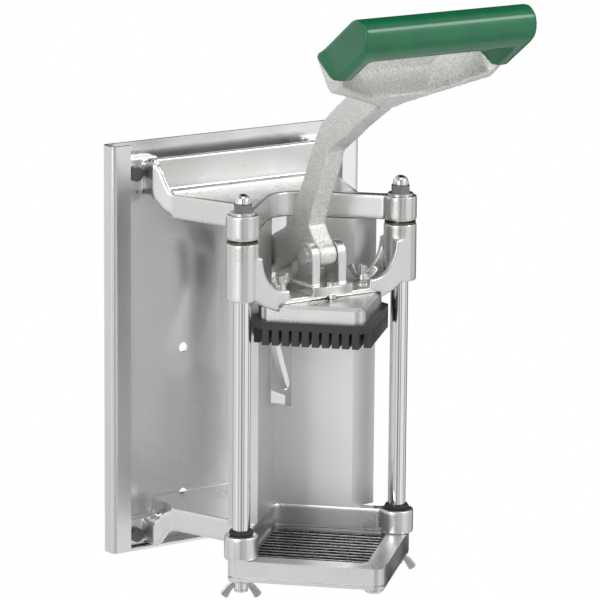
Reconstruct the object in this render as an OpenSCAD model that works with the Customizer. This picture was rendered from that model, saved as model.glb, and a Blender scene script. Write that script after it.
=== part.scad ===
// Wall-mounted french fry cutter.
// Origin: centre of the wall bracket's back face, +Z up, +X to the right, the wall at y = 0.
// Everything stands out from the wall towards -Y.

/* [Wall bracket] */
// Width of the bracket
plate_w = 213.6; // [206:0.2:224]
// Height of the bracket
plate_h = 300; // [298:1:320]
// Depth of the folded edges
plate_d = 14.6; // [12:0.2:17]
// Thickness of the sheet
sheet_t = 2; // [1.5:0.1:2.4]
// Width of the front lips
lip_w = 15.3; // [12:0.1:18]
// Outside radius of the bends
bend_r = 4; // [3:0.5:5]
// Diameter of the wall screw holes
wall_hole_d = 7.5; // [6:0.5:9]
// Width between the wall screw holes
hole_dx = 78; // [70:1:84]
// Height between the rows of wall screw holes
hole_dz = 110; // [104:1:112]

/* [Guide rods] */
// Diameter of the rods
rod_d = 12.7; // [12:0.1:13.4]
// Distance between the rods
rod_gap = 134.2; // [132:0.2:138]
// Distance from the wall to the rods
rod_reach = 123.6; // [121:0.2:126]
// Distance from the bracket's top down to the top of the rods' rings
top_drop = 33.6; // [32:0.2:36]
// Distance from the bracket's foot up to the foot of the rods' bosses
foot_rise = 17.9; // [16:0.1:19]

/* [Frame] */
// Height of the rails, rings and arms
rail_h = 18.2; // [16:0.2:20]
// Thickness of the column's walls
column_t = 6; // [5:0.5:7]
// Distance from the rods back to the column's inner corner
column_depth = 60; // [58:0.5:62]
// Width of the slot in the column's corner
slot_w = 17.7; // [17:0.1:19]

/* [Lever] */
// Thickness of the lever and its heel
lever_t = 14.4; // [12:0.2:15]
// Distance from the lever's pivot to the rear pin
heel_r = 81; // [80:0.5:82]
// Turn of the lever over the stroke, in degrees
lever_turn = 58; // [57:0.5:59]
// Gap left over the rubber rings at the end of the travel
stop_gap = 6.1; // [5:0.1:8]
// Width of the hand loop
loop_w = 141; // [137:1:146]
// Forward lean of the hand loop, in degrees
loop_lean = 54.4; // [52:0.2:57]

/* [Cutting] */
// Distance from cut to cut
pitch = 7.144; // [7:0.01:7.25]
// Number of cuts along one side
cuts = 12; // [12:1:12]
// Width of one pusher finger
finger_w = 5; // [4.6:0.1:5.4]
// Thickness of a blade
blade_t = 0.8; // [0.5:0.1:1]
// Side of the blade head
head_side = 112.9; // [111:0.1:115]
// Height of the blade head
head_h = 12; // [11.6:0.2:13]

/* [Hidden] */
$fn = 48;
fine_fn = 32;
arc_steps = 8;
track_steps = 14;
hex_fn = 6;

// Clearances and overruns
run_gap = 0.05;
fit_gap = 0.15;
side_gap = 0.3;
over = 1;

// Main places, all from the driving dimensions
rod_x = rod_gap / 2;
rod_y = -rod_reach;
rod_r = rod_d / 2;
rod_top = plate_h / 2 - top_drop;
rod_foot = plate_h / 2 - foot_rise;
rail_z = rod_top - rail_h;
web_y = -sheet_t;
lip_inner = plate_w / 2 - lip_w;
low_rail_cut = 1.1;
low_rail_top = -rod_foot + rail_h - low_rail_cut;
ring_r = 11.8;
boss_r = 12.2;
column_y = rod_y + column_depth;
root2 = sqrt(2);

// Bolts through the frame's feet, just inside the bracket's lips
bolt_r = 3.2;
bolt_head_r = 5.2;
bolt_head_h = 3.4;
washer_r = 6.6;
washer_t = 1.2;
bolt_x = lip_inner - bolt_head_r - side_gap;
bolt_rise = 12;
bolt_edge = 2.5;
upper_bolt_z = rod_top + bolt_rise;
lower_bolt_z = -plate_h / 2 + sheet_t + side_gap + washer_r + bolt_edge;

// Frame ends
rib_t = 3.4;
rib_x = bolt_x - washer_r - rib_t / 2 - 2 * side_gap;
foot_in = 11;
elbow_in = 6;
frame_x = rib_x - foot_in;
elbow_x = rib_x - elbow_in;
gusset_y = -24.5;
elbow_y = -37;
arm_x = 48;
arm_y = -99;
rail_t = 8;
deck_t = 6;
frame_wall = 8;
rail_front = 61;
upper_round = 24;
lower_round = 12;
pad_out = bolt_x + foot_in;
pad_t = 8;
pad_h = 23.7;
back_h = 23.6;
back_t = 6;
low_pad_drop = foot_rise - sheet_t - side_gap + over;

// Column
wing_x = 40.8;
flange_x = 61;
flange_y = 1.6;
wing_step = 1;
slot_clear = 9.5;
cam_t = 4.3;
cam_wall = 4;

// Crosshead at rest, hung from the upper frame, and its travel down to the rubber rings
lip_t = 1.3;
cross_gap = 0.8;
cross_h = 41.4;
cross_top = rail_z - cross_gap - lip_t;
cross_foot = cross_top - cross_h;
floor_drop = 4.3;
floor_t = 3.6;
floor_z = cross_foot - floor_drop;
floor_top = floor_z + floor_t;
bumper_r = 8.8;
bumper_h = 3.6;
bead_r = 1.6;
stroke = cross_foot - low_rail_top - bumper_h - stop_gap;

// Lever pivot and the track that its rear pins follow
pivot_rise = 26.3;
pivot_z = floor_top + pivot_rise;
pivot_r = 4;
heel_eye_r = 7;
rest_angle = -16;
roller_r = 6;
roller_w = 3.7;
roller_gap = 0.35;
heel_pin_r = 3;

module axis_x(x, y, z) { translate([x, y, z]) rotate([0, 90, 0]) children(); }

module plate_xy(z0, z1) { translate([0, 0, z0]) linear_extrude(height = z1 - z0) children(); }

// A side outline, drawn as [y, z], given a thickness along X
module plate_yz(x0, x1) {
  translate([x0, 0, 0]) rotate([90, 0, 90]) linear_extrude(height = x1 - x0) children();
}

// A front outline, drawn as [x, z], given a thickness along Y
module plate_xz(y0, y1) {
  translate([0, y1, 0]) rotate([90, 0, 0]) linear_extrude(height = y1 - y0) children();
}

module both() {
  children();
  mirror([1, 0, 0]) children();
}

module rounded(w, h, r) {
  square([w - 2 * r, h], center = true);
  square([w, h - 2 * r], center = true);
  for (x = [-1, 1], y = [-1, 1]) translate([x * (w / 2 - r), y * (h / 2 - r)]) circle(r = r);
}

// A square set cornerwise round the line between the rods
module cornerwise(z0, z1) {
  translate([0, rod_y, z0]) rotate([0, 0, 45]) linear_extrude(height = z1 - z0) children();
}

function arc_points(cx, cy, r, a0, a1, steps = arc_steps) =
  [for (i = [0:steps]) let (a = a0 + (a1 - a0) * i / steps) [cx + r * cos(a), cy + r * sin(a)]];

function mirrored(points) = [for (i = [len(points) - 1:-1:0]) [-points[i][0], points[i][1]]];

// Wall bracket: one folded sheet, open at the top
hole_mid = -6.3;
module wall_bracket() {
  color("lightgray") difference() {
    union() {
      plate_xy(-plate_h / 2, plate_h / 2) translate([0, -plate_d / 2]) difference() {
        rounded(plate_w, plate_d, bend_r);
        rounded(plate_w - 2 * sheet_t, plate_d - 2 * sheet_t, bend_r - sheet_t);
        translate([-lip_inner, -plate_d / 2 - over]) square([2 * lip_inner, plate_d / 2]);
      }
      translate([-plate_w / 2 + bend_r, -plate_d, -plate_h / 2])
        cube([plate_w - 2 * bend_r, plate_d - sheet_t / 2, sheet_t]);
    }
    for (x = [-1, 1], row = [-1, 0, 1])
      translate([x * hole_dx / 2, over, hole_mid + row * hole_dz]) rotate([90, 0, 0])
        cylinder(d = wall_hole_d, h = sheet_t + 2 * over);
    for (x = [-1, 1], z = [upper_bolt_z, lower_bolt_z])
      translate([x * bolt_x, over, z]) rotate([90, 0, 0])
        cylinder(r = bolt_r + fit_gap, h = sheet_t + 2 * over);
  }
}

// Outline of a frame end seen from above: the arms and the cornerwise rail
rail_back = rail_front + rail_t * root2;
function rail_line(x, reach) = [-x, rod_y + reach - x];
half_plan = [[-frame_x, web_y], [-frame_x, gusset_y], [-elbow_x, elbow_y], [-arm_x, arm_y],
  rail_line(rod_x, rail_back), rail_line(rod_x, rail_front)];
function rail_arc(r) = arc_points(0, rod_y + rail_front - r * root2, r, 135, 45);
module frame_plan(r) {
  polygon(concat(half_plan, rail_arc(r), mirrored(half_plan)));
}

pocket_half = [[-frame_x + frame_wall, web_y - frame_wall], [-frame_x + frame_wall, gusset_y],
  [-elbow_x + frame_wall, elbow_y], [-arm_x + frame_wall, arm_y + frame_wall],
  rail_line(arm_x - frame_wall, rail_back + frame_wall / 2), rail_line(0, rail_back)];
module pocket_plan() {
  polygon(concat(pocket_half, mirrored(pocket_half)));
}

ring_bore = rod_r + run_gap;

module foot_pad(z0, z1, bolt_z) {
  difference() {
    translate([-pad_out, web_y - pad_t, z0]) cube([pad_out - frame_x + over, pad_t, z1 - z0]);
    translate([-bolt_x, over, bolt_z]) rotate([90, 0, 0]) cylinder(r = bolt_r + fit_gap, h = 2 * pad_t);
  }
}

// Curved side wall from the foot's rib to the front corner of the deck
side_reach = gusset_y - elbow_y;
side_strip = [[-rib_x - rib_t / 2, gusset_y], [-elbow_x, elbow_y], [-elbow_x + rib_t, elbow_y],
  [-rib_x + rib_t / 2, gusset_y]];
side_top_shares = [[0, 1], [0.1, 0.98], [0.22, 0.92], [0.35, 0.8], [0.45, 0.67], [0.53, 0.53], [0.65, 0.33],
  [0.76, 0.18], [0.87, 0.07], [1, 0]];
side_foot_shares = [[1, 0.76], [0.82, 0.7], [0.62, 0.61], [0.48, 0.5], [0.29, 0.27], [0.13, 0.05], [0, 0]];
module rib(z0, z1, z_tip) {
  plate_yz(-rib_x - rib_t / 2, -rib_x + rib_t / 2)
    polygon([[web_y, z0], [gusset_y, z0 + rib_t], [gusset_y, z1], [web_y, z1]]);
  translate([0, 0, z0]) linear_extrude(height = z1 - z0)
    polygon([[-rib_x, web_y], [-rib_x, web_y - rib_t], [-frame_x, web_y - pad_t], [-frame_x, web_y]]);
  intersection() {
    plate_xy(z0 - rail_h, z1) polygon(side_strip);
    plate_yz(-pad_out, 0) polygon(concat(
      [for (p = side_top_shares) [gusset_y - p[0] * side_reach, z_tip + p[1] * (z1 - z_tip)]],
      [for (p = side_foot_shares) [gusset_y - p[0] * side_reach, z0 - p[1] * (rail_h - deck_t)]]));
  }
  plate_xy(z0, z_tip) polygon([[-rib_x, gusset_y], [-elbow_x, elbow_y], [-frame_x, gusset_y]]);
}

// Rounded cut under the roots of the arms
arch_r = rail_h - deck_t;
root_arch = concat([[web_y + over, rail_z - over], [elbow_y, rail_z - over]],
  arc_points(elbow_y, rail_z + arch_r, arch_r, -90, 0), [[web_y + over, rail_z + arch_r]]);

// Upper end of the frame: feet, back plate, deck, arms, cornerwise rail and the two rings
module upper_frame() {
  color("gainsboro") difference() {
    union() {
      difference() {
        plate_xy(rail_z, rod_top) frame_plan(upper_round);
        plate_xy(rail_z - over, rod_top - deck_t) pocket_plan();
        plate_yz(-frame_x - over, frame_x + over) polygon(root_arch);
      }
      both() translate([-rod_x, rod_y, rail_z]) cylinder(r = ring_r, h = rail_h);
      translate([-rib_x, gusset_y, rod_top - deck_t]) cube([2 * rib_x, back_t, back_h + deck_t]);
      both() foot_pad(rod_top - over, rod_top - over + pad_h, upper_bolt_z);
      both() rib(rod_top - deck_t, rod_top + back_h - rib_t, rod_top);
    }
    both() translate([-rod_x, rod_y, rail_z - over]) cylinder(r = ring_bore, h = rail_h + 2 * over);
  }
}

// Lower end of the frame: the same plan, with the feet hanging below it
module lower_frame() {
  color("gainsboro") difference() {
    union() {
      difference() {
        plate_xy(-rod_foot, low_rail_top) frame_plan(lower_round);
        plate_xy(-rod_foot - over, low_rail_top - deck_t) pocket_plan();
      }
      both() translate([-rod_x, rod_y, -rod_foot]) cylinder(r = boss_r, h = low_rail_top + rod_foot);
      both() foot_pad(-rod_foot - low_pad_drop + over, low_rail_top - rail_h + deck_t, lower_bolt_z);
      both() mirror([0, 0, 1]) rib(rod_foot - deck_t, rod_foot + low_pad_drop - rib_t, rod_foot);
    }
    both() translate([-rod_x, rod_y, -rod_foot - over])
      cylinder(r = ring_bore, h = low_rail_top + rod_foot + 2 * over);
  }
}

// Column between the frame ends, with the corner slot and the lever track
function heel_angle(share) = rest_angle + lever_turn * share;
function heel_place(share) =
  [rod_y + heel_r * cos(heel_angle(share)), pivot_z - stroke * share + heel_r * sin(heel_angle(share))];
function heel_way(share) = let (a = heel_angle(share), turn = lever_turn * PI / 180)
  [-heel_r * sin(a) * turn, -stroke + heel_r * cos(a) * turn];
function track_side(share, r) = let (p = heel_place(share), d = heel_way(share), n = norm(d))
  [p[0] - r * d[1] / n, p[1] + r * d[0] / n];
function way_angle(share) = let (d = heel_way(share)) atan2(d[1], d[0]);
function track_outline(r) = concat(
  [for (i = [0:track_steps]) track_side(i / track_steps, r)],
  arc_points(heel_place(1)[0], heel_place(1)[1], r, way_angle(1) + 90, way_angle(1) - 90),
  [for (i = [track_steps:-1:0]) track_side(i / track_steps, -r)],
  arc_points(heel_place(0)[0], heel_place(0)[1], r, way_angle(0) - 90, way_angle(0) - 270));
track_r = roller_r + roller_gap;
widest_share = 0.25;
cam_root = 4;
cam_back = heel_place(widest_share)[0] + track_r + cam_wall;
cam_top = heel_place(0)[1] + track_r + cam_wall;
cam_foot = heel_place(1)[1] - track_r - cam_wall;
cam_front = column_y - cam_root;
slot_foot = heel_place(1)[1] - heel_eye_r - slot_clear;

module column_plan() {
  half = [[0, column_y], [-wing_x, column_y - wing_x], [-flange_x, column_y - wing_x + flange_y],
    [-flange_x, column_y - wing_x + flange_y + column_t],
    [-wing_x + wing_step, column_y - wing_x + column_t * root2 - wing_step], [0, column_y + column_t * root2]];
  polygon(half);
  mirror([1, 0]) polygon(half);
}

module column() {
  color("silver") difference() {
    union() {
      plate_xy(low_rail_top, rail_z) column_plan();
      both() plate_yz(-slot_w / 2 - cam_t, -slot_w / 2)
        polygon([[cam_front, cam_foot], [cam_back - cam_wall, cam_foot], [cam_back, cam_foot + cam_wall],
          [cam_back, cam_top - cam_wall], [cam_back - cam_wall, cam_top], [cam_front, cam_top]]);
    }
    translate([-slot_w / 2, column_y - slot_w, slot_foot])
      cube([slot_w, slot_w + column_t * root2 + over, rail_z - slot_foot + over]);
    plate_yz(-slot_w, slot_w) polygon(track_outline(track_r));
  }
}

// Foot bolts with their washers
module foot_bolts() {
  color("dimgray") for (x = [-1, 1], z = [upper_bolt_z, lower_bolt_z])
    translate([x * bolt_x, web_y - pad_t - washer_t, z]) rotate([90, 0, 0]) {
      cylinder(r = bolt_head_r, h = bolt_head_h);
      translate([0, 0, -pad_t - washer_t - sheet_t]) cylinder(r = bolt_r, h = pad_t + washer_t + sheet_t);
    }
}

module foot_washers() {
  color("silver") for (x = [-1, 1], z = [upper_bolt_z, lower_bolt_z])
    translate([x * bolt_x, web_y - pad_t, z]) rotate([90, 0, 0]) difference() {
      cylinder(r = washer_r, h = washer_t);
      translate([0, 0, -over]) cylinder(r = bolt_r + fit_gap, h = washer_t + 2 * over);
    }
}

// Guide rods: full diameter through the frame, with thinner threaded ends
tail_d = 9.5;
tip_d = 8;
tip_l = 8;
tail_out = 9.2;
rod_washer_r = 9;
rod_washer_t = 1.5;
module rod(x) {
  color("whitesmoke") translate([x, rod_y, 0]) {
    translate([0, 0, -rod_foot]) cylinder(d = rod_d, h = rod_foot + rod_top);
    translate([0, 0, rod_top]) cylinder(d = tip_d, h = tip_l);
    translate([0, 0, keeper_foot - tail_out]) cylinder(d = tail_d, h = tail_out - keeper_foot - rod_foot);
  }
}
module guide_rod_left() { rod(-rod_x); }
module guide_rod_right() { rod(rod_x); }

module ring_at(x, z, r_out, r_in, h) {
  translate([x, rod_y, z]) difference() {
    cylinder(r = r_out, h = h);
    translate([0, 0, -over]) cylinder(r = r_in, h = h + 2 * over);
  }
}

module rod_washers() {
  color("silver") both() ring_at(rod_x, rod_top, rod_washer_r, tip_d / 2 + fit_gap, rod_washer_t);
}

// Domed nuts on the rods' tops
nut_af = 12.4;
nut_h = 5.6;
dome_r = 5.7;
dome_rise = 1.4;
module domed_nut() {
  difference() {
    union() {
      cylinder(d = nut_af / cos(30), h = nut_h, $fn = hex_fn);
      translate([0, 0, nut_h]) cylinder(r = dome_r, h = dome_rise);
      translate([0, 0, nut_h + dome_rise]) intersection() {
        sphere(r = dome_r);
        translate([-dome_r, -dome_r, 0]) cube([2 * dome_r, 2 * dome_r, dome_r]);
      }
    }
    translate([0, 0, -over]) cylinder(r = tip_d / 2 + run_gap, h = tip_l - rod_washer_t + over + side_gap);
  }
}
module domed_nuts() {
  color("whitesmoke") both() translate([rod_x, rod_y, rod_top + rod_washer_t]) domed_nut();
}

// Rubber rings that stop the crosshead
module rod_bumpers() {
  color("black") both() translate([rod_x, rod_y, low_rail_top]) rotate_extrude() difference() {
    union() {
      translate([rod_r + fit_gap, 0]) square([bumper_r - rod_r - 2 * fit_gap - bead_r / 2, bumper_h]);
      translate([bumper_r - bead_r, bumper_h / 2]) circle(r = bead_r, $fn = fine_fn);
    }
    square([rod_r + fit_gap, bumper_h]);
  }
}

// Crosshead: two guide bosses joined by a hollow beam
cross_r = 11.8;
bush_r = 8.6;
wall_t = 4;
wall_inset = 0.5;
wall_y = cross_r - wall_inset;
sweep_x = 38;
sweep_r = 24;
wall_drop = 10.1;
wall_h = 26;
wall_top = cross_top - wall_drop;
wall_low = wall_top - wall_h;
skirt_h = 6.8;
skirt_z = floor_z - skirt_h;
cap_gap = 0.4;
slab_x = rod_x - cross_r;
sweep_w = 19;
wall_end = 34;
spike_x = 39;
arch = [for (i = [0:arc_steps]) let (a = 180 + 90 * i / arc_steps)
  [-sweep_x + sweep_w * cos(a), wall_top + (wall_top - wall_low) * sin(a)]];
cross_wall = concat(arch, [[-wall_end, wall_low], [-wall_end, floor_z], [-spike_x, skirt_z],
  [-slab_x, floor_z], [-rod_x, cross_foot + wall_t], [-rod_x, wall_top]]);
stud_x = 35;
stud_r = 3;
seat_r = 7;
seat_rise = 3.2;
seat_top = floor_top + seat_rise;
module crosshead() {
  color("gainsboro") difference() {
    union() {
      both() translate([-rod_x, rod_y, cross_foot]) cylinder(r = cross_r, h = cross_top - cross_foot);
      both() for (y = [rod_y - wall_y, rod_y + wall_y - wall_t])
        plate_xz(y, y + wall_t) polygon(cross_wall);
      translate([-slab_x, rod_y - wall_y, floor_z]) cube([2 * slab_x, 2 * wall_y, floor_top - floor_z]);
      both() translate([-stud_x, rod_y, floor_z]) cylinder(r = seat_r, h = seat_top - floor_z);
    }
    both() translate([-rod_x, rod_y, floor_z - over]) cylinder(r = bush_r, h = cross_top - floor_z + 2 * over);
    both() translate([-stud_x, rod_y, floor_z - over])
      cylinder(r = stud_r + side_gap, h = seat_top - floor_z + 2 * over);
    for (y = [-1, 1]) translate([0, rod_y + y * clevis_screw_y, floor_z - over])
      cylinder(r = screw_r + run_gap, h = floor_top - floor_z + 2 * over);
    cornerwise(skirt_z - over, floor_z) rounded(cap_side + 2 * cap_gap, cap_side + 2 * cap_gap, cap_round);
  }
}

// Bushings in the crosshead, each with a lip on top
lip_r = 11.2;
module bushings() {
  color("darkkhaki") both() translate([-rod_x, rod_y, 0]) difference() {
    union() {
      translate([0, 0, cross_foot]) cylinder(r = bush_r, h = cross_top - cross_foot);
      translate([0, 0, cross_top]) cylinder(r = lip_r, h = lip_t);
    }
    translate([0, 0, cross_foot - over])
      cylinder(r = rod_r + run_gap, h = cross_top - cross_foot + lip_t + 2 * over);
  }
}

// Clevis bracket on the crosshead, which holds the lever's pivot pin
ear_in = 7.7;
ear_t = 6.7;
ear_r = 9.6;
clevis_half = 17;
clevis_front = 17.5;
clevis_back = 16;
clevis_t = 6.5;
clevis_top = floor_top + clevis_t;
ear_foot = 6;
clevis_bulge = 44;
clevis_screw_y = 13;
screw_r = 2.5;
screw_head_r = 4.4;
screw_head_h = 2.6;
module clevis_bracket() {
  color("lightgray") difference() {
    union() {
      intersection() {
        plate_xy(floor_top, clevis_top) translate([0, rod_y - clevis_front + clevis_bulge])
          circle(r = clevis_bulge, $fn = 2 * $fn);
        translate([-clevis_half, rod_y - clevis_front, floor_top])
          cube([2 * clevis_half, clevis_front + clevis_back, clevis_top - floor_top]);
      }
      both() plate_yz(-ear_in - ear_t, -ear_in) union() {
        translate([rod_y, pivot_z]) circle(r = ear_r);
        translate([rod_y - ear_r, floor_top]) square([2 * ear_r, pivot_z - floor_top]);
        translate([rod_y, floor_top]) square([clevis_back, clevis_top + ear_foot - floor_top]);
      }
    }
    axis_x(-clevis_half - over, rod_y, pivot_z) cylinder(r = pivot_r + run_gap, h = 2 * (clevis_half + over));
    for (y = [-1, 1]) translate([0, rod_y + y * clevis_screw_y, floor_top - over])
      cylinder(r = screw_r + run_gap, h = clevis_top - floor_top + 2 * over);
  }
}

module clevis_screws() {
  color("silver") for (y = [-1, 1]) translate([0, rod_y + y * clevis_screw_y, 0]) difference() {
    union() {
      translate([0, 0, floor_z + side_gap]) cylinder(r = screw_r, h = clevis_top - floor_z - side_gap);
      translate([0, 0, clevis_top]) cylinder(r = screw_head_r, h = screw_head_h);
    }
    translate([0, 0, clevis_top + screw_head_h / 2]) cylinder(r = screw_r, h = screw_head_h, $fn = hex_fn);
  }
}

pin_head_r = 5.2;
pin_head_t = 2;
pin_half = ear_in + ear_t + side_gap / 2;
module pivot_pin() {
  color("silver") {
    axis_x(-pin_half, rod_y, pivot_z) cylinder(r = pivot_r, h = 2 * pin_half);
    both() axis_x(-pin_half - pin_head_t, rod_y, pivot_z) cylinder(r = pin_head_r, h = pin_head_t);
  }
}

// Lever: pivot boss, arm, heel and the metal of the hand loop. The outline is [y, z] from the pivot.
boss_lever_r = 8.6;
lever_reach = 86.5;
lever_rise = 143.6;
arm_shares = [[-0.095, 0.021], [0.073, 0.139], [0.014, 0.24], [-0.071, 0.348], [-0.154, 0.455],
  [-0.199, 0.534], [-0.266, 0.563], [-0.405, 0.618], [-0.543, 0.68], [-0.821, 0.787], [-0.929, 0.834],
  [-1, 0.87], [-0.845, 1], [-0.428, 0.824], [-0.231, 0.74], [-0.103, 0.675], [-0.018, 0.602],
  [0.053, 0.522], [0.151, 0.387], [0.237, 0.279], [0.335, 0.167], [0.439, 0.097]];
heel_shares = [[0.642, 0.086], [1.012, -0.205], [0.914, -0.346], [0.642, -0.216], [0.217, -0.017],
  [0.074, -0.062]];
loop_out = 52.7;
loop_up = 31.3;
loop_y = -lever_reach - loop_out;
loop_z = lever_rise + loop_up;
loop_h = 100;
loop_t = 25;
bar_shares = [[0.102, -0.85], [0.156, -0.795], [0.312, -0.73], [0.61, -0.615], [0.766, -0.555],
  [0.957, -0.485], [1, -0.44], [0.993, -0.38], [0.969, -0.32], [0.969, 0.16]];
opening_shares = [[0.312, -0.65], [0.539, -0.565], [0.851, -0.41], [0.882, -0.36], [0.882, -0.04],
  [0.823, 0.01]];
plan_shares = [[0.95, -0.58], [1, -0.44], [1, 0.3], [0.929, 0.5]];
side_shares = [[-0.48, -0.36], [-0.568, -0.44], [-0.568, -0.85], [0.48, -0.85], [0.496, -0.44],
  [0.432, -0.34], [0.432, 0.015], [0.384, 0.058], [0.272, 0.098], [0.12, 0.129], [-0.032, 0.143],
  [-0.2, 0.138], [-0.352, 0.118], [-0.452, 0.082], [-0.48, 0.05]];
through_shares = [[-1.6, -0.118], [-1.6, -0.55], [-0.568, -0.55], [-0.32, -0.61], [0.4, -0.65],
  [1.6, -0.66], [1.6, 0.002], [0.5, 0.002], [0.32, -0.078], [0, -0.123], [-0.4, -0.138], [-0.56, -0.118]];
dip_shares = [[-1.6, -0.57], [-0.56, -0.44], [0.34, -0.363], [0.52, -0.3], [1.6, -0.2], [1.6, 0.6],
  [-1.6, 0.6]];
skin = 2.2;
loop_deep = 90;

// Points given as shares of two sizes
function sized(shares, a, b) = [for (p = shares) [p[0] * a, p[1] * b]];

// Outline moved outwards by d along its edges' normals
function edge_normal(a, b) = let (e = b - a) [e[1], -e[0]] / norm(e);
function grown(points, d) = [for (i = [0:len(points) - 1])
  let (p = points[i], last = points[(i + len(points) - 1) % len(points)],
    next = points[(i + 1) % len(points)], m = edge_normal(last, p), n = edge_normal(p, next))
  p + d * (m + n) / (1 + m * n)];
function whole(points) = concat(points, mirrored(points));

// The hand loop's own frame: x, up along the loop, and n towards the hand
module in_loop() {
  translate([0, rod_y + loop_y, pivot_z + loop_z]) rotate([loop_lean, 0, 0]) children();
}
module loop_sheet(points) {
  in_loop() plate_xz(-loop_deep / 2, loop_deep / 2) polygon(points);
}
module loop_side(points) {
  in_loop() plate_yz(-loop_w, loop_w) polygon([for (p = points) [-p[0], p[1]]]);
}
module loop_plan(points) {
  in_loop() plate_xy(-loop_deep, loop_deep) polygon([for (p = points) [p[0], -p[1]]]);
}
module loop_shape(d) {
  difference() {
    intersection() {
      loop_sheet(grown(whole(sized(bar_shares, loop_w / 2, loop_h)), d));
      loop_side(grown(sized(side_shares, loop_t, loop_h), d));
      loop_plan(grown(whole(sized(plan_shares, loop_w / 2, loop_t)), d));
    }
    intersection() {
      loop_sheet(grown(whole(sized(opening_shares, loop_w / 2, loop_h)), -d));
      loop_side(grown(sized(through_shares, loop_t, loop_h), -d));
    }
  }
}

module handle_casting() {
  color("darkgray") difference() {
    union() {
      translate([0, rod_y, pivot_z]) plate_yz(-lever_t / 2, lever_t / 2) {
        polygon(concat(sized(arm_shares, lever_reach, lever_rise), sized(heel_shares, heel_r, heel_r)));
        circle(r = boss_lever_r);
        translate([heel_place(0)[0] - rod_y, heel_place(0)[1] - pivot_z]) circle(r = heel_eye_r);
      }
      loop_shape(0);
    }
    axis_x(-lever_t, rod_y, pivot_z) cylinder(r = pivot_r + run_gap, h = 2 * lever_t);
    axis_x(-lever_t, heel_place(0)[0], heel_place(0)[1]) cylinder(r = heel_pin_r + run_gap, h = 2 * lever_t);
  }
}

module handle_grip() {
  color("seagreen") difference() {
    intersection() {
      loop_shape(skin);
      loop_side(sized(dip_shares, loop_t, loop_h));
    }
    loop_shape(0);
  }
}

// Pin through the heel, its rollers and their clips
roller_in = slot_w / 2 + side_gap;
clip_t = 1;
clip_r = 5;
heel_pin_half = roller_in + roller_w + 2 * clip_t;
module heel_pin() {
  color("silver") axis_x(-heel_pin_half, heel_place(0)[0], heel_place(0)[1])
    cylinder(r = heel_pin_r, h = 2 * heel_pin_half);
}
module heel_rollers() {
  color("tan") both() axis_x(roller_in, heel_place(0)[0], heel_place(0)[1]) difference() {
    cylinder(r = roller_r, h = roller_w);
    translate([0, 0, -over]) cylinder(r = heel_pin_r + run_gap, h = roller_w + 2 * over);
  }
}
module roller_clips() {
  clip_x = roller_in + roller_w + run_gap;
  color("dimgray") both() axis_x(clip_x, heel_place(0)[0], heel_place(0)[1]) difference() {
    cylinder(r = clip_r, h = clip_t);
    translate([0, 0, -over]) cylinder(r = heel_pin_r + run_gap, h = clip_t + 2 * over);
  }
}

// Pusher: aluminium cap, studs and the plastic finger block
cap_side = 75;
cap_round = 7;
cap_h = 11.4;
cap_foot = floor_z - cap_h;
cap_edge = 2.5;
plate_depth = 5.9;
finger_l = 11;
finger_root = cap_foot - plate_depth;
finger_tip = finger_root - finger_l;
stud_out = 18.6;
stud_top = floor_z + stud_out;
block_side = (cuts - 1) * pitch + finger_w;
block_corner = (cuts - 2) * pitch + finger_w;
module pusher_cap() {
  color("lightgray") difference() {
    union() {
      cornerwise(cap_foot, floor_z - cap_edge) rounded(cap_side, cap_side, cap_round);
      translate([0, rod_y, floor_z - cap_edge]) rotate([0, 0, 45]) hull() {
        linear_extrude(height = run_gap) rounded(cap_side, cap_side, cap_round);
        translate([0, 0, cap_edge - run_gap]) linear_extrude(height = run_gap)
          rounded(cap_side - 2 * cap_edge, cap_side - 2 * cap_edge, cap_round - cap_edge);
      }
    }
    both() translate([-stud_x, rod_y, cap_foot - over])
      cylinder(r = stud_r + run_gap, h = floor_z - cap_foot + 2 * over);
  }
}

module pusher_studs() {
  color("silver") both() translate([-stud_x, rod_y, cap_foot]) cylinder(r = stud_r, h = stud_top - cap_foot);
}

module pusher_block() {
  color("dimgray") {
    cornerwise(finger_root, cap_foot) intersection() {
      square(block_side, center = true);
      rotate([0, 0, 45]) square(block_corner * root2, center = true);
    }
    cornerwise(finger_tip, finger_root + run_gap) for (i = [0:cuts - 1], j = [0:cuts - 1])
      if (!((i == 0 || i == cuts - 1) && (j == 0 || j == cuts - 1)))
        translate([(i - (cuts - 1) / 2) * pitch, (j - (cuts - 1) / 2) * pitch]) square(finger_w, center = true);
  }
}

// Wing nut, foot down, with its thread along Z
wing_t = 2.6;
hub_r = 6.2;
hub_top_r = 4.6;
hub_h = 6;
wing_reach = 17;
wing_h = 15;
wing_shares = [[0.12, 0.03], [0.4, 0.03], [0.7, 0.3], [1, 0.72], [0.93, 0.87], [0.78, 0.98], [0.66, 1],
  [0.44, 0.55], [0.32, 0.4], [0.12, 0.36]];
module wing_nut(bore, big) {
  scale([big, big, big]) difference() {
    union() {
      cylinder(r1 = hub_r, r2 = hub_top_r, h = hub_h);
      for (turn = [0, 180]) rotate([90, 0, turn]) translate([0, 0, -wing_t / 2])
        linear_extrude(height = wing_t) polygon(sized(wing_shares, wing_reach, wing_h));
    }
    translate([0, 0, -over]) cylinder(r = bore / big, h = hub_h + 2 * over);
  }
}
upper_nut_share = 0.72;
nut_z = seat_top + washer_t;
module pusher_washers() {
  color("silver") both() translate([stud_x, rod_y, seat_top]) difference() {
    cylinder(r = stud_washer_r, h = washer_t);
    translate([0, 0, -over]) cylinder(r = stud_r + fit_gap, h = washer_t + 2 * over);
  }
}
stud_washer_r = 6.4;
module upper_wing_nut(x, turn) {
  color("gainsboro") translate([x, rod_y, nut_z + run_gap]) rotate([0, 0, turn])
    wing_nut(stud_r + run_gap, upper_nut_share);
}
left_nut_turn = 26;
right_nut_turn = -60;
module pusher_nut_left() { upper_wing_nut(-stud_x, left_nut_turn); }
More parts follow.
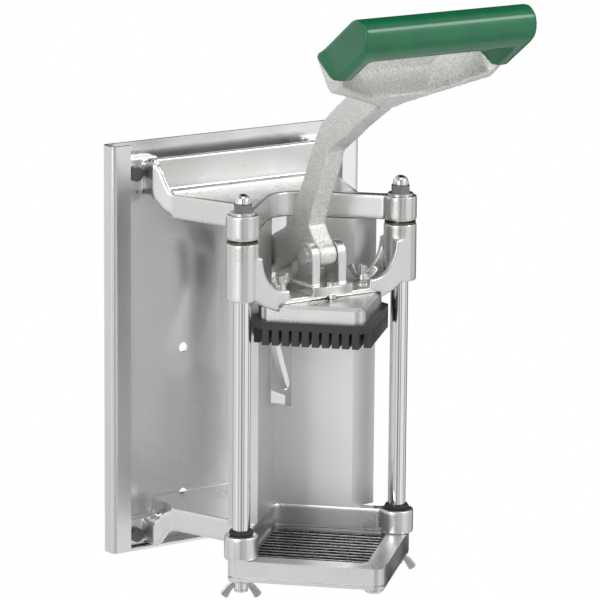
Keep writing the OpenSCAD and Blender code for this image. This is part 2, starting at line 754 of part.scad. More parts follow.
module pusher_nut_right() { upper_wing_nut(stud_x, right_nut_turn); }

// Blade head, cornerwise, with a seat for the two blade frames
head_top = -rod_foot;
head_foot_z = head_top - head_h;
head_round = 6.8;
opening_side = block_side + 2 * side_gap;
opening_round = 6.6;
seat_side = 91;
seat_round = 10;
lip_h = 2.9;
tail_hole_r = tail_d / 2 + fit_gap;
module blade_head() {
  color("lightgray") difference() {
    cornerwise(head_foot_z, head_top) rounded(head_side, head_side, head_round);
    cornerwise(head_foot_z - over, head_top + over) rounded(opening_side, opening_side, opening_round);
    cornerwise(head_foot_z - over, head_top - lip_h) rounded(seat_side, seat_side, seat_round);
    both() translate([-rod_x, rod_y, head_foot_z - over]) cylinder(r = tail_hole_r, h = head_h + 2 * over);
    for (x = [-1, 1]) translate([x * head_pin_x, rod_y - head_pin_y, head_foot_z - over])
      cylinder(r = head_pin_r + run_gap, h = head_h + 2 * over);
  }
}
head_pin_x = 2.4;
head_pin_y = 68.5;
head_pin_r = 1.2;

// One frame of blades: a flat ring crossed by straight blades
blade_seat = side_gap / 2;
blade_h = (head_h - lip_h) / 2;
module blade_layer(z0, turn) {
  color("silver") translate([0, rod_y, z0]) rotate([0, 0, 45 + turn]) {
    linear_extrude(height = blade_h) difference() {
      rounded(seat_side - 2 * blade_seat, seat_side - 2 * blade_seat, seat_round - blade_seat);
      rounded(opening_side, opening_side, opening_round);
    }
    for (i = [1:cuts - 1])
      translate([(i - cuts / 2) * pitch - blade_t / 2, -opening_side / 2 - blade_h / 4, 0])
        cube([blade_t, opening_side + blade_h / 2, blade_h]);
  }
}
module upper_blades() { blade_layer(head_top - lip_h - blade_h, 0); }
module lower_blades() { blade_layer(head_foot_z, 90); }

// Plate under the blade head
keeper_step = 0.8;
keeper_t = 2.4;
keeper_inset = 1.6;
keeper_open = 85;
module keeper_plate() {
  color("darkgray") difference() {
    union() {
      cornerwise(head_foot_z - keeper_step, head_foot_z)
        rounded(head_side - 2 * keeper_inset, head_side - 2 * keeper_inset, head_round - keeper_inset);
      cornerwise(head_foot_z - keeper_step - keeper_t, head_foot_z - keeper_step)
        rounded(head_side, head_side, head_round);
    }
    cornerwise(head_foot_z - keeper_t - 2 * over, head_foot_z + over)
      rounded(keeper_open, keeper_open, opening_round);
    both() translate([-rod_x, rod_y, head_foot_z - keeper_t - 2 * over])
      cylinder(r = tail_hole_r, h = keeper_t + 4 * over);
    for (x = [-1, 1]) translate([x * head_pin_x, rod_y - head_pin_y, head_foot_z - keeper_t - 2 * over])
      cylinder(r = head_pin_r + run_gap, h = keeper_t + 4 * over);
  }
}

keeper_foot = head_foot_z - keeper_step - keeper_t;
module head_pins() {
  color("whitesmoke") for (x = [-1, 1]) translate([x * head_pin_x, rod_y - head_pin_y, keeper_foot])
    cylinder(r = head_pin_r, h = head_top - keeper_foot + side_gap);
}

// Round foot under the front corner
head_foot_r = 7;
head_foot_t = 3.6;
head_foot_share = 0.7;
module head_foot() {
  color("gray") translate([0, rod_y - head_pin_y, keeper_foot - head_foot_t]) {
    translate([0, 0, head_foot_t / 2]) cylinder(r = head_foot_r, h = head_foot_t / 2);
    cylinder(r1 = head_foot_r * head_foot_share, r2 = head_foot_r, h = head_foot_t / 2);
  }
}

module tail_washers() {
  color("silver") both() ring_at(rod_x, keeper_foot - washer_t, rod_washer_r, tail_hole_r, washer_t);
}
module head_wing_nut(x) {
  color("gainsboro") translate([x, rod_y, keeper_foot - washer_t - run_gap])
    rotate([0, 0, head_nut_turn]) mirror([0, 0, 1])
      wing_nut(tail_d / 2 + run_gap, head_nut_share);
}
head_nut_turn = -32;
head_nut_share = 0.86;
module head_nut_left() { head_wing_nut(-rod_x); }
module head_nut_right() { head_wing_nut(rod_x); }

wall_bracket();
upper_frame();
column();
lower_frame();
foot_bolts();
foot_washers();
guide_rod_left();
guide_rod_right();
rod_washers();
domed_nuts();
rod_bumpers();
crosshead();
bushings();
clevis_bracket();
clevis_screws();
pivot_pin();
handle_casting();
handle_grip();
heel_pin();
heel_rollers();
roller_clips();
pusher_cap();
pusher_studs();
pusher_block();
pusher_washers();
pusher_nut_left();
pusher_nut_right();
blade_head();
upper_blades();
lower_blades();
keeper_plate();
head_pins();
head_foot();
tail_washers();
head_nut_left();
head_nut_right();
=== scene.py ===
# %% [markdown]
# # Dressing a wall-mounted fry cutter
# The solids of this cutter already exist: a folded steel bracket, two cast frame ends, two chromed
# rods, a crosshead on bushings, a toothed pusher, a square head with crossed blades, and a lever with a
# green hand loop. This lesson gives them their real surfaces. The solids could be modelled again here,
# but they already have the right sizes and the right joints, so nothing is moved. A piece either keeps
# its solid and gets rounded edges and a finish, or a softer casting takes the solid's place.

import math

import bpy
from mathutils import Matrix, Vector


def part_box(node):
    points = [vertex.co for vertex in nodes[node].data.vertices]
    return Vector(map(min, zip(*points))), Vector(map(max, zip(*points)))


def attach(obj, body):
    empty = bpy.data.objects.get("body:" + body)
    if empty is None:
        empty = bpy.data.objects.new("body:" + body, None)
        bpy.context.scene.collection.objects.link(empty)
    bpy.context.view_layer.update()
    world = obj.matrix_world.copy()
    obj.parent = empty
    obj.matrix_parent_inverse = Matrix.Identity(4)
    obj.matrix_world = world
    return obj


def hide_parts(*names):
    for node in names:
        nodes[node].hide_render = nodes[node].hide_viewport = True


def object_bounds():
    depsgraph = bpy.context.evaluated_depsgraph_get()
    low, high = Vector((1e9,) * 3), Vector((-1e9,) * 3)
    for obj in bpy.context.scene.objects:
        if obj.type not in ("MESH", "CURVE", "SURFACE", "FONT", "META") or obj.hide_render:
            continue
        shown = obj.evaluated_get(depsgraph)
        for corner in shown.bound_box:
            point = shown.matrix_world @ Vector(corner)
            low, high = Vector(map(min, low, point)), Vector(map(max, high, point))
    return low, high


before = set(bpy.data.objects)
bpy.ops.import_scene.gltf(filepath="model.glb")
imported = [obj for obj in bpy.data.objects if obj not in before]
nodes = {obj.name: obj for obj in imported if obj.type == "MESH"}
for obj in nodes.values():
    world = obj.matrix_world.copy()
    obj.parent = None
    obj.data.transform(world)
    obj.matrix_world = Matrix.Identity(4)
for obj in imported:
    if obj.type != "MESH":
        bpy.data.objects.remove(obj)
cad_low, cad_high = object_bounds()
MM = 0.001
print("nodes:", len(nodes), "box:", [round(v, 4) for v in (*cad_low, *cad_high)])

# %% [markdown]
# ## The camera
# The photograph was taken with a long lens from the left and a little above, with the camera turned a
# hair about its own axis. A camera could simply be aimed at a target, but a target leaves no room for
# that small roll. Three direction vectors describe it exactly, so the camera gets a full matrix. The
# long lens is why the bracket's edges stay almost parallel.

# %% Camera at the photograph's angle
CAMERA_PLACE = Vector((-1.63947, -2.53824, 0.69417))
CAMERA_AZIMUTH = math.radians(-33.873)
CAMERA_ELEVATION = math.radians(12.502)
CAMERA_ROLL = math.radians(0.437)
LENS_MM = 253.3
SENSOR_MM = 36.0
FARTHEST_SEEN = 30


def camera_matrix():
    away = Vector((math.sin(CAMERA_AZIMUTH) * math.cos(CAMERA_ELEVATION),
                   -math.cos(CAMERA_AZIMUTH) * math.cos(CAMERA_ELEVATION),
                   math.sin(CAMERA_ELEVATION)))
    right = Vector((0, 0, 1)).cross(away).normalized()
    up = away.cross(right)
    turned_right = right * math.cos(CAMERA_ROLL) + up * math.sin(CAMERA_ROLL)
    turned_up = away.cross(turned_right)
    return Matrix.Translation(CAMERA_PLACE) @ Matrix((turned_right, turned_up, away)).transposed().to_4x4()


camera = bpy.data.objects.new("camera", bpy.data.cameras.new("camera"))
bpy.context.scene.collection.objects.link(camera)
camera.matrix_world = camera_matrix()
camera.data.lens = LENS_MM
camera.data.sensor_width = SENSOR_MM
camera.data.clip_end = FARTHEST_SEEN
bpy.context.scene.camera = camera
print("camera distance to the rods:", round((CAMERA_PLACE - Vector((0, -0.1236, 0))).length, 3), "m")

# %% [markdown]
# ## The studio
# Polished metal is mostly a picture of the room. A photograph of a real room could be wrapped round the
# scene, but then the metal would show that room. Here a few numbers describe a studio instead. Metal
# that sees nothing but white turns into flat grey paper, so a real studio hangs dark cloths between its
# white panels. The room here does the same with upright bands, light and dark. Each band is a compass
# angle in degrees, from straight in front of the bracket and positive towards the right, with its share
# of white. The second list darkens the room under the table and near the ceiling: each step is a height
# from 0, straight down, to 1, straight up, with its share of white.

# %% Bands of the room
bpy.context.scene.view_settings.view_transform = "Standard"
ROOM_BANDS = [(-180, 0.9), (-125, 0.75), (-95, 1.0), (-72, 0.55), (-52, 0.9), (-34, 0.22), (-16, 0.85),
              (-4, 0.30), (8, 0.95), (20, 0.95), (28, 0.82), (36, 1.0), (46, 0.85), (60, 0.34), (78, 0.92),
              (98, 0.3), (122, 0.04), (165, 0.04), (180, 0.9)]
UNDER_TABLE = 0.55
CEILING = 0.3
ROOM_HEIGHTS = [(0, UNDER_TABLE), (0.5, 1), (0.8, 1), (0.93, CEILING), (1, CEILING)]
print("room bands:", len(ROOM_BANDS), "heights:", len(ROOM_HEIGHTS))


# %% Small helpers for node trees
def link(tree, a, b):
    tree.links.new(a, b)


def computed(tree, kind, operation, *sources):
    node = tree.nodes.new(kind)
    node.operation = operation
    for socket, source in zip(node.inputs, sources):
        if isinstance(source, (int, float)):
            socket.default_value = source
        else:
            link(tree, source, socket)
    return node.outputs[0]


def direction_parts(tree):
    where = tree.nodes.new("ShaderNodeTexCoord")
    parts = tree.nodes.new("ShaderNodeSeparateXYZ")
    link(tree, where.outputs["Generated"], parts.inputs[0])
    return parts.outputs


def eased_steps(tree, source, steps):
    ramp = tree.nodes.new("ShaderNodeValToRGB")
    ramp.color_ramp.interpolation = "EASE"
    stops = ramp.color_ramp.elements
    for place, light in steps[1:-1]:
        stops.new(place).color = (light, light, light, 1)
    for end in (0, -1):
        light = steps[end][1]
        stops[end].color = (light, light, light, 1)
    link(tree, source, ramp.inputs["Fac"])
    return ramp.outputs["Color"]


print("helpers ready")


# %% [markdown]
# ## Light from the room
# The compass angle of a ray is the arc tangent of its sideways and forward parts, and its height is its
# upward part. Each goes through an eased ramp, and the two shades are multiplied. Matt surfaces don't
# mirror bands, so they get a plain soft daylight, which is stronger from the front, because the cutter
# hangs on a wall.

# %% Room and daylight
FRONT_LIGHT = 1.0
BACK_LIGHT = 0.35


def banded_room(tree):
    parts = direction_parts(tree)
    front = computed(tree, "ShaderNodeMath", "MULTIPLY", parts["Y"], -1)
    turn = computed(tree, "ShaderNodeMath", "ARCTAN2", parts["X"], front)
    compass = computed(tree, "ShaderNodeMath", "MULTIPLY_ADD", turn, 0.5 / math.pi, 0.5)
    rise = computed(tree, "ShaderNodeMath", "MULTIPLY_ADD", parts["Z"], 0.5, 0.5)
    bands = eased_steps(tree, compass, [(0.5 + angle / 360, light) for angle, light in ROOM_BANDS])
    heights = eased_steps(tree, rise, ROOM_HEIGHTS)
    return computed(tree, "ShaderNodeVectorMath", "MULTIPLY", bands, heights)


def soft_daylight(tree):
    half = (FRONT_LIGHT - BACK_LIGHT) / 2
    depth = direction_parts(tree)["Y"]
    return computed(tree, "ShaderNodeMath", "MULTIPLY_ADD", depth, -half, BACK_LIGHT + half)


print("daylight from front and back:", FRONT_LIGHT, BACK_LIGHT)


# %% [markdown]
# Three backgrounds share the world. The camera sees white, mirrors see the banded room, and everything
# else is lit by the daylight. The Light Path node knows which ray is asking, so no backdrop has to be
# built.

# %% Studio world
def mixed(tree, share, first, second):
    mix = tree.nodes.new("ShaderNodeMixShader")
    link(tree, share, mix.inputs["Fac"])
    link(tree, first.outputs[0], mix.inputs[1])
    link(tree, second.outputs[0], mix.inputs[2])
    return mix


def studio_world():
    world = bpy.data.worlds.new("studio")
    bpy.context.scene.world = world
    world.use_nodes = True
    tree = world.node_tree
    tree.nodes.clear()
    out = tree.nodes.new("ShaderNodeOutputWorld")
    seen, lit, mirrored = [tree.nodes.new("ShaderNodeBackground") for _ in range(3)]
    seen.inputs["Color"].default_value = (1, 1, 1, 1)
    link(tree, soft_daylight(tree), lit.inputs["Color"])
    link(tree, banded_room(tree), mirrored.inputs["Color"])
    rays = tree.nodes.new("ShaderNodeLightPath")
    shiny = computed(tree, "ShaderNodeMath", "MAXIMUM", rays.outputs["Is Glossy Ray"],
                     rays.outputs["Is Transmission Ray"])
    matt_or_shiny = mixed(tree, shiny, lit, mirrored)
    every_ray = mixed(tree, rays.outputs["Is Camera Ray"], matt_or_shiny, seen)
    link(tree, every_ray.outputs[0], out.inputs["Surface"])


studio_world()
print("world:", bpy.context.scene.world.name)

# %% [markdown]
# ## Lamps and floor
# Three large soft lamps stand for the windows and the ceiling of the studio. Point lamps would be
# simpler, but they draw hard specks on chrome, while a wide lamp draws a calm stripe. The right window
# hangs so that the grip mirrors it as one long highlight. The floor is a pale sheet well below the
# cutter, since the real one hangs on a wall. It is small enough to stay out of the picture and it still
# catches the shadow.

# %% Soft lamps
MIDDLE = (0, -0.12, 0.05)
GRIP = (0, -0.26, 0.23)
LAMPS = [("left_window", (-1.9, -0.9, 0.7), MIDDLE, 0.7, 1.8, 15),
         ("right_window", (0.84, -1.14, 1.12), GRIP, 0.6, 0.66, 7),
         ("ceiling", (-0.2, -0.8, 2.0), MIDDLE, 1.6, 1.2, 6)]


def soft_lamp(name, place, target, width, height, watts):
    data = bpy.data.lights.new(name, "AREA")
    data.shape = "RECTANGLE"
    data.size = width
    data.size_y = height
    data.energy = watts
    lamp = bpy.data.objects.new(name, data)
    bpy.context.scene.collection.objects.link(lamp)
    lamp.location = place
    lamp.rotation_euler = (Vector(target) - Vector(place)).to_track_quat("-Z", "Y").to_euler()


for lamp_facts in LAMPS:
    soft_lamp(*lamp_facts)
print("lamps:", len(LAMPS), "watts:", sum(lamp_facts[-1] for lamp_facts in LAMPS))

# %% Pale floor
FLOOR_DROP = 0.55
FLOOR_SIDE = 0.9
FLOOR_BACK = 0.5
FLOOR_SHADE = 0.86
FLOOR_ROUGHNESS = 0.9
floor_z = cad_low.z - FLOOR_DROP
floor_mesh = bpy.data.meshes.new("floor")
floor_mesh.from_pydata([(-FLOOR_SIDE, -FLOOR_SIDE, floor_z), (FLOOR_SIDE, -FLOOR_SIDE, floor_z),
                        (FLOOR_SIDE, FLOOR_BACK, floor_z), (-FLOOR_SIDE, FLOOR_BACK, floor_z)],
                       [], [(0, 1, 2, 3)])
floor = bpy.data.objects.new("floor", floor_mesh)
bpy.context.scene.collection.objects.link(floor)
floor_paint = bpy.data.materials.new("pale_floor")
floor_paint.use_nodes = True
paint_shader = floor_paint.node_tree.nodes["Principled BSDF"]
paint_shader.inputs["Base Color"].default_value = (FLOOR_SHADE, FLOOR_SHADE, FLOOR_SHADE, 1)
paint_shader.inputs["Roughness"].default_value = FLOOR_ROUGHNESS
floor.data.materials.append(floor_paint)
print("floor at z =", round(floor_z, 3))

# %% [markdown]
# ## Finishes
# A finish could be painted on an image, but an image has one size and needs a map for every piece.
# Noise lies in space, so it fits every piece at its true scale. Every finish here is a Principled
# shader with a little noise in the right place. `finish` makes the shader, `grain` makes a noise with
# its own stretch, `spread` fits that noise between two values, and `uneven`, `tinted` and `bumpy` plug
# it into the roughness, the colour or the surface normal. Lengths are in metres, so a scale of 900
# means grains of about a millimetre.

# %% Helpers for finishes
def finish(name, color, metallic, roughness):
    material = bpy.data.materials.new(name)
    material.use_nodes = True
    shader = material.node_tree.nodes["Principled BSDF"]
    shader.inputs["Base Color"].default_value = (*color, 1)
    shader.inputs["Metallic"].default_value = metallic
    shader.inputs["Roughness"].default_value = roughness
    return material


def shader_of(material):
    return material.node_tree.nodes["Principled BSDF"]


def grain(material, scale, stretch=(1, 1, 1), detail=3.0):
    tree = material.node_tree
    where = tree.nodes.new("ShaderNodeTexCoord")
    mapping = tree.nodes.new("ShaderNodeMapping")
    mapping.inputs["Scale"].default_value = stretch
    noise = tree.nodes.new("ShaderNodeTexNoise")
    noise.inputs["Scale"].default_value = scale
    noise.inputs["Detail"].default_value = detail
    link(tree, where.outputs["Object"], mapping.inputs["Vector"])
    link(tree, mapping.outputs["Vector"], noise.inputs["Vector"])
    return noise.outputs["Fac"]


def spread(material, source, low, high, start=0.3, stop=0.7):
    tree = material.node_tree
    node = tree.nodes.new("ShaderNodeMapRange")
    node.inputs["From Min"].default_value = start
    node.inputs["From Max"].default_value = stop
    node.inputs["To Min"].default_value = low
    node.inputs["To Max"].default_value = high
    link(tree, source, node.inputs["Value"])
    return node.outputs["Result"]


def uneven(material, source, low, high):
    link(material.node_tree, spread(material, source, low, high), shader_of(material).inputs["Roughness"])


def tinted(material, source, dark, light, start=0.3, stop=0.7):
    tree = material.node_tree
    mix = tree.nodes.new("ShaderNodeMix")
    mix.data_type = "RGBA"
    mix.inputs["A"].default_value = (*dark, 1)
    mix.inputs["B"].default_value = (*light, 1)
    link(tree, spread(material, source, 0, 1, start, stop), mix.inputs["Factor"])
    link(tree, mix.outputs["Result"], shader_of(material).inputs["Base Color"])


def bumpy(material, source, depth, strength=1.0):
    tree = material.node_tree
    bump = tree.nodes.new("ShaderNodeBump")
    bump.inputs["Distance"].default_value = depth
    bump.inputs["Strength"].default_value = strength
    link(tree, source, bump.inputs["Height"])
    before = [l.from_socket for l in tree.links if l.to_socket == shader_of(material).inputs["Normal"]]
    if before:
        link(tree, before[0], bump.inputs["Normal"])
    link(tree, bump.outputs["Normal"], shader_of(material).inputs["Normal"])


def height_in(material):
    tree = material.node_tree
    where = tree.nodes.new("ShaderNodeTexCoord")
    parts = tree.nodes.new("ShaderNodeSeparateXYZ")
    link(tree, where.outputs["Object"], parts.inputs[0])
    return parts.outputs["Z"]


print("finish helpers ready")


# %% [markdown]
# The bracket is sheet steel with a soft polish. Rolling leaves very fine upright lines, and the sheet
# is never quite flat, so reflections smear and waver a little. Both could be modelled, but they are
# finer than any mesh should be. A long soft noise bends the normal, a fine one stretched along Z
# scratches it. The frame ends and the crosshead are castings tumbled to a satin, and the column is the
# same metal with a duller skin.

# %% Bracket, casting and column finishes
panel_steel = finish("panel_steel", (0.66, 0.66, 0.66), 1.0, 0.2)
# A noise stretched along Z paints soft upright light and dark streaks into the colour: partly uneven
# polish, partly painted reflection streaks of the room.
tinted(panel_steel, grain(panel_steel, 16, (1, 1, 0.16), 2), (0.72, 0.72, 0.725), (0.93, 0.93, 0.93))
uneven(panel_steel, grain(panel_steel, 7, (1, 1, 0.5)), 0.17, 0.30)
bumpy(panel_steel, grain(panel_steel, 9, (1, 1, 0.12), 1), 0.0016, 1.0)
bumpy(panel_steel, grain(panel_steel, 60, (30, 30, 0.6)), 0.00004, 0.5)

satin_casting = finish("satin_casting", (0.74, 0.74, 0.73), 1.0, 0.3)
uneven(satin_casting, grain(satin_casting, 40), 0.24, 0.38)
bumpy(satin_casting, grain(satin_casting, 900), 0.00008, 0.5)

column_casting = finish("column_casting", (0.80, 0.80, 0.79), 1.0, 0.42)
uneven(column_casting, grain(column_casting, 25), 0.38, 0.48)
bumpy(column_casting, grain(column_casting, 700), 0.00008, 0.5)
print("finishes so far:", panel_steel.name, satin_casting.name, column_casting.name)

# %% [markdown]
# The lever is left as it came out of the sand mould: matt, warm grey and grainy. One noise alone looks
# like wallpaper, and real grains would take millions of faces. So one noise tints the grains, a second
# wears the gloss unevenly, and two bumps of different size give the sand and the slow waves of the
# mould.

# %% Lever finish
raw_casting = finish("raw_casting", (0.80, 0.79, 0.775), 1.0, 0.5)
tinted(raw_casting, grain(raw_casting, 700, detail=6), (0.64, 0.63, 0.615), (0.97, 0.96, 0.94))
uneven(raw_casting, grain(raw_casting, 120), 0.36, 0.54)
bumpy(raw_casting, grain(raw_casting, 900, detail=4), 0.0005, 0.9)
bumpy(raw_casting, grain(raw_casting, 220, detail=2), 0.0006, 0.5)
print("lever finish:", raw_casting.name)

# %% [markdown]
# Pins, studs and wing nuts are plain bright steel, the rods are chromed, the foot bolts are blackened,
# and the rollers and bushings are dark bearing metal. They differ mostly in colour and gloss, so each
# gets one noise in its roughness, of the size of its own handling marks.

# %% Small hardware finishes
bright_steel = finish("bright_steel", (0.70, 0.70, 0.69), 1.0, 0.24)
uneven(bright_steel, grain(bright_steel, 200), 0.18, 0.32)
chrome = finish("chrome", (0.86, 0.86, 0.87), 1.0, 0.06)
uneven(chrome, grain(chrome, 90, (1, 1, 0.1)), 0.05, 0.10)
dark_steel = finish("dark_steel", (0.13, 0.13, 0.135), 0.9, 0.38)
uneven(dark_steel, grain(dark_steel, 300), 0.30, 0.48)
bearing_metal = finish("bearing_metal", (0.16, 0.145, 0.125), 1.0, 0.35)
uneven(bearing_metal, grain(bearing_metal, 500), 0.28, 0.42)
print("hardware finishes:", bright_steel.name, chrome.name, dark_steel.name, bearing_metal.name)

# %% [markdown]
# The stop rings are black rubber, the toothed block is a dark moulded plastic with a fine matt grain,
# and the hand loop was dipped in green vinyl. A dip runs before it sets, so it is glossy, slightly
# wavy, and a shade uneven in depth. Clear coat over a softer gloss gives both its sharp stripe of light
# and the haze round it.

# %% Rubber, plastic and dip finishes
stop_rubber = finish("stop_rubber", (0.018, 0.018, 0.018), 0.0, 0.6)
uneven(stop_rubber, grain(stop_rubber, 400), 0.5, 0.7)
tooth_plastic = finish("tooth_plastic", (0.024, 0.025, 0.027), 0.0, 0.42)
uneven(tooth_plastic, grain(tooth_plastic, 260), 0.36, 0.5)
bumpy(tooth_plastic, grain(tooth_plastic, 1500), 0.00005, 0.5)
green_dip = finish("green_dip", (0.0, 0.115, 0.045), 0.0, 0.3)
tinted(green_dip, grain(green_dip, 60, detail=4), (0.0, 0.104, 0.038), (0.0, 0.130, 0.048))
uneven(green_dip, grain(green_dip, 30), 0.26, 0.34)
bumpy(green_dip, grain(green_dip, 45, detail=1), 0.0004, 0.15)
shader_of(green_dip).inputs["Coat Weight"].default_value = 0.35
shader_of(green_dip).inputs["Coat Roughness"].default_value = 0.12
print("finishes:", len(bpy.data.materials), "with the floor's paint")

# %% [markdown]
# A blade is a thin steel strip with a ground upper edge. Its top band is painted bright: partly the
# ground edge, partly a painted highlight where the edge faces the light. The strip below is painted
# near black, painted shade down among the blades. The bright band draws the grid of fine lines that
# one sees in the head. The band could be its own faces with their own material, but height alone tells
# it from the strip, so a height mask mixes the two. The two frames of blades lie at different heights,
# so each gets its own mask. A domed nut uses the same trick: the dome is polished chrome, and the six
# flats below it are painted dark, a painted reflection of the dark room.

# %% Blade and domed nut finishes
LIT_EDGE_BAND = 0.8 * MM
LIT_EDGE_FADE = 0.24 * MM
HEX_HEIGHT = 6.5 * MM
PAINTED_FLATS_FADE = 0.6 * MM


def blade_finish(name, top):
    material = finish(name, (0.5, 0.5, 0.5), 1.0, 0.3)
    # Painted light: the top band is partly the ground edge and partly a painted highlight, and the strip
    # below it is painted shade.
    tinted(material, height_in(material), (0.075, 0.075, 0.08), (0.92, 0.92, 0.92),
           top - LIT_EDGE_BAND, top - LIT_EDGE_BAND + LIT_EDGE_FADE)
    uneven(material, grain(material, 150, (1, 1, 6)), 0.22, 0.36)
    return material


blade_finishes = {name: blade_finish(name + "_steel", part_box(name)[1].z)
                  for name in ("upper_blades", "lower_blades")}
flats_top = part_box("domed_nuts")[0].z + HEX_HEIGHT
nut_chrome_painted_flats = finish("nut_chrome_painted_flats", (0.86, 0.86, 0.87), 1.0, 0.06)
# The six flats under the chrome dome are painted dark: a painted reflection of the dark room.
tinted(nut_chrome_painted_flats, height_in(nut_chrome_painted_flats), (0.22, 0.22, 0.22), (0.86, 0.86, 0.87),
       flats_top - PAINTED_FLATS_FADE, flats_top)
print("blade finishes:", list(blade_finishes), "flats end at z =", round(flats_top, 4))

# %% [markdown]
# ## Two ways to soften an edge
# No real edge is perfectly sharp, and a sharp one catches no light. Sheet metal and turned parts have
# crisp edges with a small break. For these the solid stays, and three modifiers round it: one merges
# flat triangles, one bevels, one keeps flat faces looking flat. A bevel fails on a casting, whose walls
# meet in many ways, and a casting has no sharp edge anywhere, inside corners included. So it is rebuilt
# from small cells and then smoothed, which rounds edges and corners alike. Large castings are thinned
# afterwards, and small ones keep all their faces, because thinning shows on them.

# %% Crisp edges for machined and folded pieces
FLAT_WITHIN = math.radians(0.6)
EDGE_FROM = math.radians(28)


def machined(name, material, edge=0.4, steps=2):
    piece = nodes[name]
    piece.data.materials.clear()
    piece.data.materials.append(material)
    merge = piece.modifiers.new("merge", "DECIMATE")
    merge.decimate_type = "DISSOLVE"
    merge.angle_limit = FLAT_WITHIN
    bevel = piece.modifiers.new("break_edges", "BEVEL")
    bevel.width = edge * MM
    bevel.segments = steps
    bevel.limit_method = "ANGLE"
    bevel.angle_limit = EDGE_FROM
    bevel.harden_normals = True
    piece.data.shade_smooth()
    weighted = piece.modifiers.new("flat_faces", "WEIGHTED_NORMAL")
    weighted.keep_sharp = True


print("edges are broken from", round(math.degrees(EDGE_FROM)), "degrees on")


# %% Soft corners for castings
SMOOTHING = 0.5


def baked_copy(source, name, modifiers):
    copy = bpy.data.objects.new(name, source.data.copy())
    bpy.context.scene.collection.objects.link(copy)
    for kind, settings in modifiers:
        modifier = copy.modifiers.new(kind, kind)
        for key, value in settings.items():
            setattr(modifier, key, value)
    graph = bpy.context.evaluated_depsgraph_get()
    mesh = bpy.data.meshes.new_from_object(copy.evaluated_get(graph))
    copy.modifiers.clear()
    copy.data = mesh
    return copy


def cast(name, body, material, cell, rounds, keep=1.0):
    piece = baked_copy(nodes[name], name + "_cast", [
        ("REMESH", {"mode": "VOXEL", "voxel_size": cell * MM}),
        ("SMOOTH", {"factor": SMOOTHING, "iterations": rounds}),
        ("DECIMATE", {"ratio": keep})])
    piece.data.materials.clear()
    piece.data.materials.append(material)
    piece.data.shade_smooth()
    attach(piece, body)
    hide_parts(name)
    print(piece.name, len(piece.data.polygons), "faces")


# %% [markdown]
# ## Bracket, column and frame ends
# The bracket is folded sheet, so it keeps its solid with hardly any rounding, and the column only gets
# a rounder edge. The two frame ends are sand castings: legs, deck and rings flow into each other, and
# that flow is what the eye looks for, so they are cast anew. Bolts, washers, rods and nuts are turned
# and keep their solids.

# %% Dress the stand
machined("wall_bracket", panel_steel, 0.3)
machined("column", column_casting, 0.8, 3)
cast("upper_frame", "stand", satin_casting, 1.0, 8, 0.7)
cast("lower_frame", "stand", satin_casting, 1.0, 8, 0.7)
machined("foot_bolts", dark_steel, 0.4)
machined("foot_washers", bright_steel, 0.15)
machined("guide_rod_left", chrome, 0.4)
machined("guide_rod_right", chrome, 0.4)
machined("rod_washers", bright_steel, 0.2)
machined("domed_nuts", nut_chrome_painted_flats, 0.35)
machined("rod_bumpers", stop_rubber, 0.3)

# %% [markdown]
# ## Crosshead, clevis and pusher
# The crosshead is the hollow casting that slides on the rods, and the clevis is the small fork that is
# screwed on it for the lever. Both get soft corners, the fork from finer cells because its ears are
# thin. The cap under them is a cast block with straight sides, so a wide bevel is enough. The toothed
# block has over a hundred fingers: cells fine enough for those would be far too many, so it keeps its
# solid.

# %% Dress the carriage
cast("crosshead", "carriage", satin_casting, 0.7, 10)
machined("bushings", bearing_metal, 0.2)
cast("clevis_bracket", "carriage", satin_casting, 0.4, 10)
machined("clevis_screws", bright_steel, 0.3)
machined("pivot_pin", chrome, 0.9, 3)
machined("pusher_cap", satin_casting, 0.8, 3)
machined("pusher_studs", bright_steel, 0.2)
machined("pusher_block", tooth_plastic, 0.35)
machined("pusher_washers", bright_steel, 0.15)

# %% [markdown]
# ## Lever and grip
# Heel, lever and hand loop are one casting. The green dip covers the loop's bar and ends in soft lips.
# It could be a swollen copy of the bar, but its solid already has the dip's thickness, so it only needs
# many rounds of smoothing, three times the casting's, because a liquid skin leaves nothing crisp.

# %% Dress the lever
cast("handle_casting", "lever", raw_casting, 1.0, 8, 0.5)
cast("handle_grip", "lever", green_dip, 0.8, 24, 0.6)
machined("heel_pin", bright_steel, 0.2)
machined("roller_clips", dark_steel, 0.1)
machined("heel_rollers", bearing_metal, 0.3)

# %% [markdown]
# ## Blade head
# The head is a square cast frame with two crossed layers of blades held by a plate from below. Blades
# are less than a millimetre thick, so their bevel is tiny.

# %% Dress the head
machined("blade_head", satin_casting, 0.7, 3)
for name, steel in blade_finishes.items():
    machined(name, steel, 0.08, 1)
machined("keeper_plate", satin_casting, 0.3)
machined("head_pins", bright_steel, 0.2)
machined("head_foot", bright_steel, 0.3)
machined("tail_washers", bright_steel, 0.15)

# %% [markdown]
# Wing nuts are die castings: thin rounded wings on a conical hub. They turn on their own bodies, so
# each is a piece of its own, from fine cells.

# %% Dress the wing nuts
for kind in ("pusher", "head"):
    for side in ("left", "right"):
        cast(f"{kind}_nut_{side}", f"{side}_{kind}_nut", bright_steel, 0.3, 10)

# %% [markdown]
# ## Threads
# The rods' lower ends and the pusher's studs carry a thread where they stand out of their wing nuts.
# Stacked rings or a bump would look much the same from afar. A real thread is one ridge wound up the
# shaft, so it is built as that: a three-sided ridge whose inner side is sunk in the shaft, fading in
# and out over half a turn. It covers only the bare stretch beyond each nut, so the nut's bore stays
# clear.

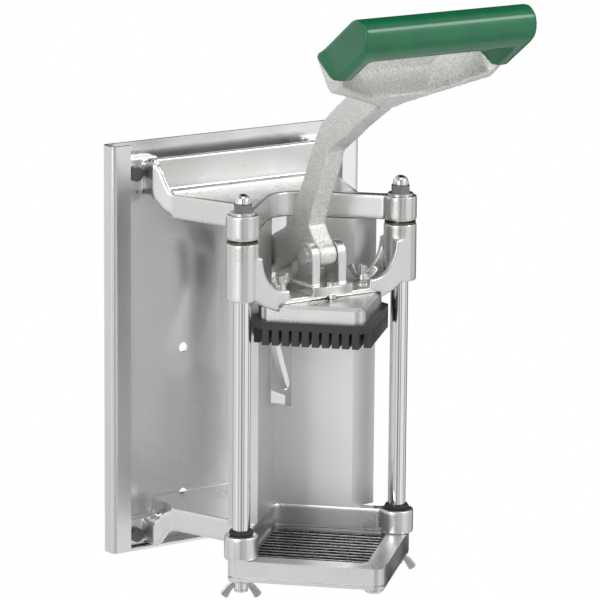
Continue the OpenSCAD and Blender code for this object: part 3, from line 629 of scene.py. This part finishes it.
# %% Wind the threads
THREAD_STEPS = 28
RIDGE_MM = 0.32
SUNK_MM = 0.1
HALF_TURN = THREAD_STEPS / 2
FOOT_RISE, CREST_RISE, HEAD_RISE = 0.02, 0.5, 0.98


def thread(name, body, axis, radius, low, high, pitch):
    turns = (high - low) / pitch - 1
    count = int(turns * THREAD_STEPS)
    points, faces = [], []
    for i in range(count + 1):
        angle = math.tau * i / THREAD_STEPS
        fade = min(1, i / HALF_TURN, (count - i) / HALF_TURN)
        for reach, rise in ((-SUNK_MM, FOOT_RISE), (RIDGE_MM * fade, CREST_RISE), (-SUNK_MM, HEAD_RISE)):
            out = radius + reach * MM
            points.append((axis.x + out * math.cos(angle), axis.y + out * math.sin(angle),
                           low + (i / THREAD_STEPS + rise) * pitch))
    for i in range(count):
        for side in range(3):
            a, b = 3 * i + side, 3 * i + (side + 1) % 3
            faces.append((a, a + 3, b + 3, b))
    faces += [(0, 1, 2), (3 * count + 2, 3 * count + 1, 3 * count)]
    mesh = bpy.data.meshes.new(name)
    mesh.from_pydata(points, [], faces)
    mesh.materials.append(bright_steel)
    piece = bpy.data.objects.new(name, mesh)
    bpy.context.scene.collection.objects.link(piece)
    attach(piece, body)
    print(name, len(faces), "faces,", round(turns, 1), "turns")


# %% Threads of the rods and studs
TAIL_RADIUS, TAIL_PITCH, TAIL_TIP = 4.75 * MM, 0.8 * MM, 0.15 * MM
STUD_RADIUS, STUD_PITCH, STUD_TIP = 3.0 * MM, 0.9 * MM, 0.2 * MM
HEAD_HUB, PUSHER_HUB = 5.4 * MM, 4.6 * MM
stud_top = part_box("pusher_studs")[1].z
for side in ("left", "right"):
    rod_low, rod_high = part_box("guide_rod_" + side)
    hub_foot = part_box("head_nut_" + side)[1].z - HEAD_HUB
    thread("rod_thread_" + side, "stand", (rod_low + rod_high) / 2, TAIL_RADIUS,
           rod_low.z + TAIL_TIP, hub_foot, TAIL_PITCH)
    nut_low, nut_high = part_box("pusher_nut_" + side)
    thread("stud_thread_" + side, "carriage", (nut_low + nut_high) / 2, STUD_RADIUS,
           nut_low.z + PUSHER_HUB, stud_top - STUD_TIP, STUD_PITCH)
